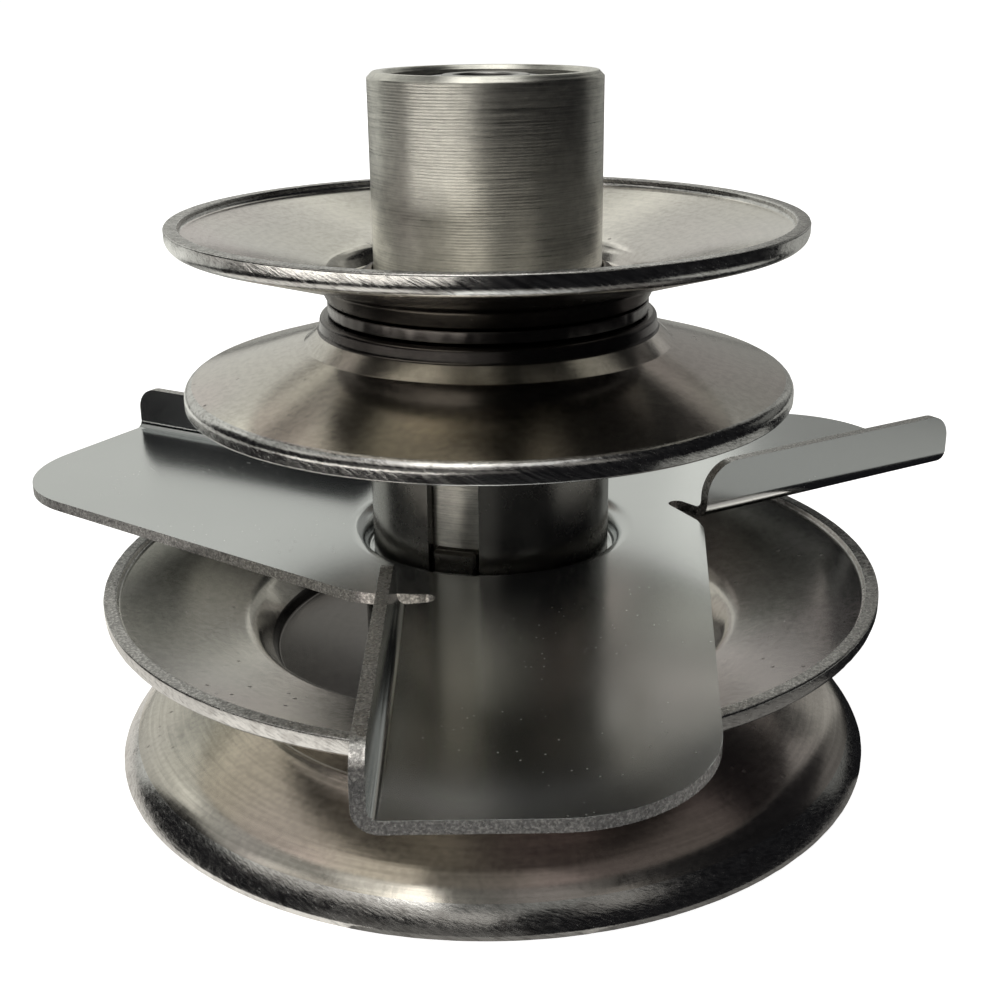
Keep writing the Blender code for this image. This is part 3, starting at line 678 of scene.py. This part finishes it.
def build_bearing(side):
    """Both races with their ball tracks, the shields, the round balls, and the cage's finish."""
    first_low, first_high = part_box(f"{side}_ball_1")
    ball_radius = (first_high.z - first_low.z) / 2
    bore, inner_radius, low, high = extent(f"{side}_inner_race")
    outer_radius = extent(f"{side}_outer_race")[1]
    outer_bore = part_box(f"{side}_bearing_top_shield")[1].x + GAP
    centre = ((inner_radius + outer_bore) / 2, (low + high) / 2)
    edge = 0.5 * MM
    corners = [(bore, low, edge), (inner_radius, low, 0.2 * MM)]
    corners += track(centre, ball_radius + 0.2 * MM, inner_radius, True)
    corners += [(inner_radius, high, 0.2 * MM), (bore, high, edge)]
    stand_for(lathe(f"fine_{side}_inner_race", rounded(corners), SMALL_ROUND), f"{side}_inner_race", BEARING)
    corners = [(outer_radius, low, edge), (outer_radius, high, edge), (outer_bore, high, 0.2 * MM)]
    corners += track(centre, ball_radius + 0.2 * MM, outer_bore, False)[::-1] + [(outer_bore, low, 0.2 * MM)]
    stand_for(lathe(f"fine_{side}_outer_race", rounded(corners), SMALL_ROUND), f"{side}_outer_race", BEARING)

    for place in ("top", "bottom"):
        node = f"{side}_bearing_{place}_shield"
        bore, radius, low, high = extent(node)
        outside, inside = (high, low) if place == "top" else (low, high)
        step = (outside - inside) * 0.4
        corners = [(bore, outside - step), (bore + 0.7 * MM, outside - step), (bore + 1.0 * MM, outside)]
        corners += [(radius, outside), (radius, inside + step), (bore + 1.2 * MM, inside + step)]
        corners += [(bore + 0.9 * MM, inside), (bore, inside)]
        section = rounded([(*corner, 0.08 * MM) for corner in corners])
        stand_for(lathe("fine_" + node, section, SMALL_ROUND), node, SHIELD)

    number = 1
    while f"{side}_ball_{number}" in frame["nodes"]:
        node = f"{side}_ball_{number}"
        low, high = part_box(node)
        bm = bmesh.new()
        bmesh.ops.create_icosphere(bm, subdivisions=3, radius=ball_radius)
        bmesh.ops.translate(bm, verts=bm.verts, vec=(low + high) / 2)
        stand_for(finished("fine_" + node, bm, 180.0), node, BEARING)
        number += 1
    cage = frame["nodes"][f"{side}_ball_cage"].data
    cage.materials.clear()
    cage.materials.append(CAGE)


def build_core():
    """Everything inside and around the hub that isn't a sheave or the fan."""
    build_hub()
    build_weld("upper_weld_bead", 1.0)
    build_weld("lower_weld_bead", 4.0)
    for side in ("lower", "upper"):
        build_bearing(side)
        split_ring(f"{side}_snap_ring", SPRING, 0.15 * MM, SMALL_ROUND)
    split_ring("slotted_sleeve", SLEEVE, 0.2 * MM, ROUND)
    ring_piece("spacer_tube", SLEEVE, 0.3 * MM, ROUND)
    ring_piece("inner_spacer", SPINDLE)
    ring_piece("clamp_washer", SHIELD, 0.4 * MM)

    bore, flange_radius, low, high = extent("spindle_sleeve")
    radius = extent("clamp_washer")[0] - GAP
    flange_top = extent("lower_inner_race")[2] - GAP
    corners = [(bore, low, 0.4 * MM), (flange_radius, low, 0.4 * MM), (flange_radius, flange_top, 0.3 * MM)]
    corners += [(radius, flange_top, 0.2 * MM), (radius, high, 0.4 * MM), (bore, high, 0.4 * MM)]
    stand_for(lathe("fine_spindle_sleeve", rounded(corners), SMALL_ROUND), "spindle_sleeve", SPINDLE)


# ---------------------------------------------------------------- cooling fan

VANE_OUTER_X = -16.5 * MM
BEND_RADIUS = 1.5 * MM
BEND_X = VANE_OUTER_X + FAN_SHEET + BEND_RADIUS
VANE_ROOT_Y = -35.7 * MM
BLADE_TIP_Y = -96.1 * MM
VANE_HEIGHT = 8.7 * MM
COLLAR_RADIUS = 21.9 * MM
COLLAR_BEND = 3.5 * MM
BLADES = 3


def blade_outline():
    """Outline of the blade that points to -Y, anticlockwise, from its relief slot on."""
    slot_end, slot_half = (-10.4 * MM, -33.6 * MM), 1.6 * MM
    points = [(-19.1 * MM, -31.4 * MM)]
    points += arc(slot_end, slot_half, 90.0, -90.0, 14)
    points += [(BEND_X, VANE_ROOT_Y), (BEND_X, BLADE_TIP_Y)]
    side_root, side_end = Vector((37.4, -4.7)) * MM, Vector((29.3, -71.5)) * MM
    lean = math.degrees(math.atan2(side_root.x - side_end.x, side_root.y - side_end.y))
    corner = 22.2 * MM
    centre = (side_end.x - corner * math.cos(math.radians(lean)), BLADE_TIP_Y + corner)
    points += arc(centre, corner, -90.0, -lean, 36)
    points.append(tuple(side_root))
    return points


def raise_vane(bm, face, azimuth, top_z, vane_top):
    """Bends a blade's long side up about its bend line and rounds the vane's two top corners."""
    turn = Matrix.Rotation(azimuth, 3, "Z")
    centre = turn @ Vector((BEND_X, 0, top_z + BEND_RADIUS))
    steps = 10
    bend = Matrix.Rotation(math.radians(90.0 / steps), 3, turn @ Vector((0, 1, 0)))
    for step in range(steps + 1):
        grown = bmesh.ops.extrude_face_region(bm, geom=[face])["geom"]
        if face.is_valid:
            bm.faces.remove(face)
        corners = [item for item in grown if isinstance(item, bmesh.types.BMVert)]
        face = next(item for item in grown if isinstance(item, bmesh.types.BMFace))
        if step < steps:
            bmesh.ops.rotate(bm, verts=corners, cent=centre, matrix=bend)
        else:
            bmesh.ops.translate(bm, verts=corners, vec=(0, 0, vane_top - top_z - BEND_RADIUS))
    ends = sorted(face.edges, key=lambda edge: edge.calc_length())[:2]
    ends.sort(key=lambda edge: (edge.verts[0].co - centre).to_2d().length)
    for edge, radius in zip(ends, (6.4 * MM, 4.5 * MM)):
        bmesh.ops.bevel(bm, geom=[edge], offset=radius, segments=12, profile=0.5, affect="EDGES")


def fan_edge(polygon, top_z):
    """Whether a face of the fan lies on the sheared edge of its sheet."""
    place, normal = polygon.center, polygon.normal
    if place.to_2d().length < 30 * MM:
        return False
    for number in range(BLADES):
        back = Matrix.Rotation(-2 * math.pi * number / BLADES, 3, "Z")
        spot, way = back @ place, back @ normal
        beside_blade = VANE_OUTER_X - 0.1 * MM < spot.x < BEND_X + 0.05 * MM
        on_bend = beside_blade and spot.y < VANE_ROOT_Y + 0.1 * MM
        if on_bend and abs(way.x) > 0.25:
            return False
        if on_bend and spot.z > top_z + 3 * MM:
            return True
        if on_bend:
            return abs(way.y) > 0.6
    return abs(normal.z) < 0.5


def build_fan():
    """Three-bladed fan bent from one sheet, with a drawn collar and an upturned vane on each blade."""
    bore, _, _, vane_top = extent("cooling_fan")
    lip_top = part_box("slotted_sleeve")[0].z - GAP
    top_z = vane_top - VANE_HEIGHT
    shoulder = (COLLAR_RADIUS + COLLAR_BEND, top_z - COLLAR_BEND)
    inner, outer = 0.5 * MM, 2.0 * MM
    upper = arc(shoulder, COLLAR_BEND, 90.0, 180.0, 12)
    upper += arc((COLLAR_RADIUS - inner, lip_top + inner), inner, 0.0, -90.0, 4) + [(bore, lip_top)]
    under = [(bore, lip_top - FAN_SHEET)]
    under += arc((COLLAR_RADIUS + FAN_SHEET - outer, lip_top - FAN_SHEET + outer), outer, -90.0, 0.0, 8)
    under += arc(shoulder, COLLAR_BEND - FAN_SHEET, 180.0, 90.0, 8)
    bm = bmesh.new()
    facets = 192
    section = upper + under
    rings = []
    for step in range(facets):
        angle = 2 * math.pi * step / facets
        rings.append([bm.verts.new((r * math.cos(angle), r * math.sin(angle), z)) for r, z in section])
    for step in range(facets):
        ring, following = rings[step], rings[(step + 1) % facets]
        for index in range(len(section) - 1):
            bm.faces.new((ring[index], following[index], following[index + 1], ring[index + 1]))
    mouth_edges = [edge for edge in bm.edges if edge.is_boundary]

    outline = []
    for number in range(BLADES):
        turn = Matrix.Rotation(2 * math.pi * number / BLADES, 2)
        outline += [turn @ Vector(point) for point in blade_outline()]
    loops = []
    for height in (top_z, top_z - FAN_SHEET):
        verts = [bm.verts.new((*point, height)) for point in outline]
        edges = [bm.edges.new((vert, verts[index - 1])) for index, vert in enumerate(verts)]
        level = [edge for edge in mouth_edges if abs(edge.verts[0].co.z - height) < 1e-6]
        bmesh.ops.triangle_fill(bm, edges=edges + level, use_beauty=True)
        loops.append(verts)
    above, below = loops
    sides = [
        bm.faces.new((above[index - 1], below[index - 1], below[index], above[index]))
        for index in range(len(outline))
    ]
    bmesh.ops.recalc_face_normals(bm, faces=bm.faces)
    per_blade = len(outline) // BLADES
    bend_side = blade_outline().index((BEND_X, BLADE_TIP_Y))
    for number in range(BLADES):
        azimuth = 2 * math.pi * number / BLADES
        raise_vane(bm, sides[number * per_blade + bend_side], azimuth, top_z, vane_top)
    bmesh.ops.remove_doubles(bm, verts=bm.verts, dist=1e-6)
    fan = finished("fine_cooling_fan", bm)
    bevel = fan.modifiers.new("edges", "BEVEL")
    bevel.width = 0.28 * MM
    bevel.segments = 3
    bevel.limit_method = "ANGLE"
    bevel.angle_limit = math.radians(50.0)
    smooth = fan.modifiers.new("normals", "WEIGHTED_NORMAL")
    smooth.keep_sharp = False
    fan.data.shade_smooth()
    apply_modifiers(fan)
    for polygon in fan.data.polygons:
        polygon.material_index = 1 if fan_edge(polygon, top_z) else 0
    stand_for(fan, "cooling_fan", FAN, EDGE)


# ---------------------------------------------------------------- stage

def stage():
    """Wide pale floor. The metal reflects the lamps and not the floor."""
    bm = bmesh.new()
    bmesh.ops.create_circle(bm, cap_ends=True, segments=96, radius=40.0)
    floor = finished("floor", bm)
    floor.location.z = -0.5 * MM
    floor.data.materials.append(PAPER)
    floor.visible_glossy = False


# ---------------------------------------------------------------- camera and lights

WARM = (1.0, 0.96, 0.89)
WARM_WHITE = (1.0, 1.0, 0.93)


def softbox(name, azimuth, elevation, distance, size, radiance, colour):
    """Area light aimed at the object; azimuth is from the camera's side, leftwards."""
    turn, rise = math.radians(azimuth), math.radians(elevation)
    way = Vector((-math.sin(turn) * math.cos(rise), -math.cos(turn) * math.cos(rise), math.sin(rise)))
    data = bpy.data.lights.new(name, "AREA")
    data.shape = "RECTANGLE"
    data.size, data.size_y = size
    data.energy = radiance * math.pi * size[0] * size[1]
    data.color = colour
    lamp = bpy.data.objects.new(name, data)
    lamp.location = Vector((0, 0, 0.06)) + way * distance
    lamp.rotation_euler = way.to_track_quat("Z", "Y").to_euler()
    lamp.visible_camera = False
    bpy.context.scene.collection.objects.link(lamp)
    return lamp


def glow(name, middle, size, radiance, colour, height=4 * MM):
    """Area light that lies on the floor and shines up."""
    lamp = softbox(name, 0, 90, 0.1, size, radiance, colour)
    lamp.data.shape = "ELLIPSE"
    lamp.location = (*middle, height)
    lamp.rotation_euler = (math.pi, 0, math.atan2(middle[1], middle[0]))


def camera():
    """Close view from the front, looking down on the stack."""
    data = bpy.data.cameras.new("camera")
    data.lens = 50.8
    data.sensor_width = 36.0
    data.clip_start = 0.01
    view = bpy.data.objects.new("camera", data)
    view.location = (0.0, -0.2353, 0.1285)
    pitch, yaw, roll = math.radians(90 - 19.98), math.radians(-0.41), math.radians(-0.54)
    turn = Matrix.Rotation(yaw, 3, "Z") @ Matrix.Rotation(pitch, 3, "X") @ Matrix.Rotation(roll, 3, "Z")
    view.rotation_euler = turn.to_euler()
    bpy.context.scene.collection.objects.link(view)
    bpy.context.scene.camera = view


def lights():
    """Soft studio light: overhead, wide panels behind, a strip high on the left, pools on the floor."""
    world = bpy.data.worlds.new("studio")
    world.use_nodes = True
    world.node_tree.nodes["Background"].inputs[0].default_value = (0.008, 0.008, 0.009, 1.0)
    bpy.context.scene.world = world
    data = bpy.data.lights.new("overhead", "SUN")
    data.energy = 0.45
    data.angle = math.radians(50)
    data.color = (1.0, 0.985, 0.95)
    sun = bpy.data.objects.new("overhead", data)
    sun.rotation_euler = (math.radians(13), math.radians(-5), 0)
    bpy.context.scene.collection.objects.link(sun)
    softbox("back_left_box", 155, 20, 1.5, (2.1, 1.15), 0.60, WARM_WHITE)
    softbox("back_right_box", 205, 18, 1.5, (0.8, 1.1), 0.26, WARM_WHITE)
    softbox("back_strip", 178, 45, 1.4, (1.3, 0.5), 0.5, WARM_WHITE)
    softbox("zenith_box", 180, 80, 1.2, (0.7, 0.5), 1.15, WARM_WHITE)
    softbox("front_left_box", 25, 66, 1.2, (0.4, 0.6), 1.25, WARM)
    softbox("left_strip", 42, 44, 1.2, (1.6, 0.36), 0.5, WARM)
    softbox("left_rear_strip", 105, 44, 1.2, (0.9, 0.6), 0.35, WARM_WHITE)
    softbox("right_strip", -40, 45, 1.2, (0.36, 0.5), 0.26, WARM)
    softbox("right_rear_box", -130, 12, 1.3, (0.8, 0.45), 0.14, WARM_WHITE)
    softbox("front_low_box", 20, 12, 1.3, (1.3, 0.45), 0.13, WARM)
    glow("left_glow", (-0.99, -0.99), (1.9, 1.5), 1.85, WARM)
    glow("far_left_glow", (-1.2, 0.0), (1.2, 1.2), 0.5, WARM)
    glow("back_glow", (0.0, 0.50), (0.7, 1.5), 0.30, WARM_WHITE)
    glow("back_left_glow", (-0.35, 0.25), (0.4, 0.5), 0.40, WARM_WHITE)
    glow("right_glow", (0.19, -0.02), (0.12, 0.2), 0.28, WARM_WHITE)
    under = -0.2 * MM
    glow("near_left_glow", (-0.09, -0.02), (0.14, 0.2), 0.56, WARM, under)
    glow("near_front_glow", (-0.03, -0.10), (0.10, 0.16), 0.17, WARM, under)
    glow("near_right_glow", (0.06, -0.07), (0.08, 0.12), 0.12, WARM, under)
    glow("near_back_glow", (-0.05, 0.12), (0.14, 0.3), 0.29, WARM_WHITE, under)
    bpy.context.scene.view_settings.view_transform = "Standard"


camera()
stage()
lights()
build_sheaves()
build_core()
build_fan()
